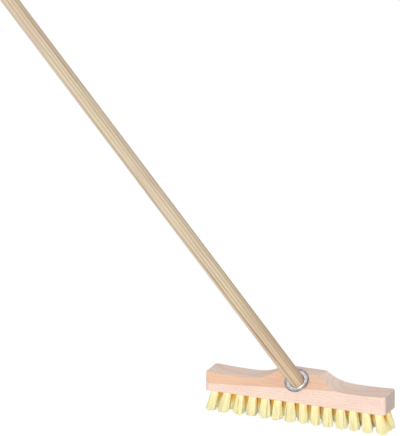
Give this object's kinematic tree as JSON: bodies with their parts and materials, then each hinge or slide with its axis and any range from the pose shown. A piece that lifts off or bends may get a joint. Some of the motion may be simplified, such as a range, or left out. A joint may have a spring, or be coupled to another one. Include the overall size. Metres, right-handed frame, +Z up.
{
  "type": "long-handled scrub brush",
  "caption": "Shaped beech scrubbing head with rows of bristle tufts, a pressed steel socket in its slanted face and a long round wooden stick pushed into it.",
  "frame": {"origin": "tip of the middle bristle, under the centre of the block, in the plane on which the bristles stand", "axes": "+Z up from the bristle tips to the block, +X along the block, -Y the way its slanted face and its stick point"},
  "size_m": [0.3, 1.0318, 1.0303],
  "materials": {
    "beech": "raw sanded beech, pink on its front face, with fine flecks and end grain on its ends",
    "stick_wood": "raw turned stick with straight lengthwise grain and darker streaks",
    "pressed_steel": "bright zinc-plated pressed sheet",
    "bristle": "pale yellow stiff bristles, amber deep in the tufts"
  },
  "bodies": {
    "head": {"block": "beech", "handle_socket": "pressed_steel", "tuft_front_01": "bristle", "tuft_front_02": "bristle", "tuft_front_03": "bristle", "tuft_front_04": "bristle", "tuft_front_05": "bristle", "tuft_front_06": "bristle", "tuft_front_07": "bristle", "tuft_front_08": "bristle", "tuft_front_09": "bristle", "tuft_front_10": "bristle", "tuft_front_11": "bristle", "tuft_front_12": "bristle", "tuft_front_13": "bristle", "tuft_front_14": "bristle", "tuft_middle_01": "bristle", "tuft_middle_02": "bristle", "tuft_middle_03": "bristle", "tuft_middle_04": "bristle", "tuft_middle_05": "bristle", "tuft_middle_06": "bristle", "tuft_middle_07": "bristle", "tuft_middle_08": "bristle", "tuft_middle_09": "bristle", "tuft_middle_10": "bristle", "tuft_middle_11": "bristle", "tuft_middle_12": "bristle", "tuft_middle_13": "bristle", "tuft_back_01": "bristle", "tuft_back_02": "bristle", "tuft_back_03": "bristle", "tuft_back_04": "bristle", "tuft_back_05": "bristle", "tuft_back_06": "bristle", "tuft_back_07": "bristle", "tuft_back_08": "bristle", "tuft_back_09": "bristle", "tuft_back_10": "bristle", "tuft_back_11": "bristle", "tuft_back_12": "bristle", "tuft_back_13": "bristle", "tuft_back_14": "bristle"},
    "stick": {"handle": "stick_wood"}
  },
  "joints": [
    {"name": "handle_pull", "type": "slide", "parent": "head", "child": "stick", "axis": [-0.0555, -0.7182, 0.6936], "range_m": [0, 0.03]}
  ]
}
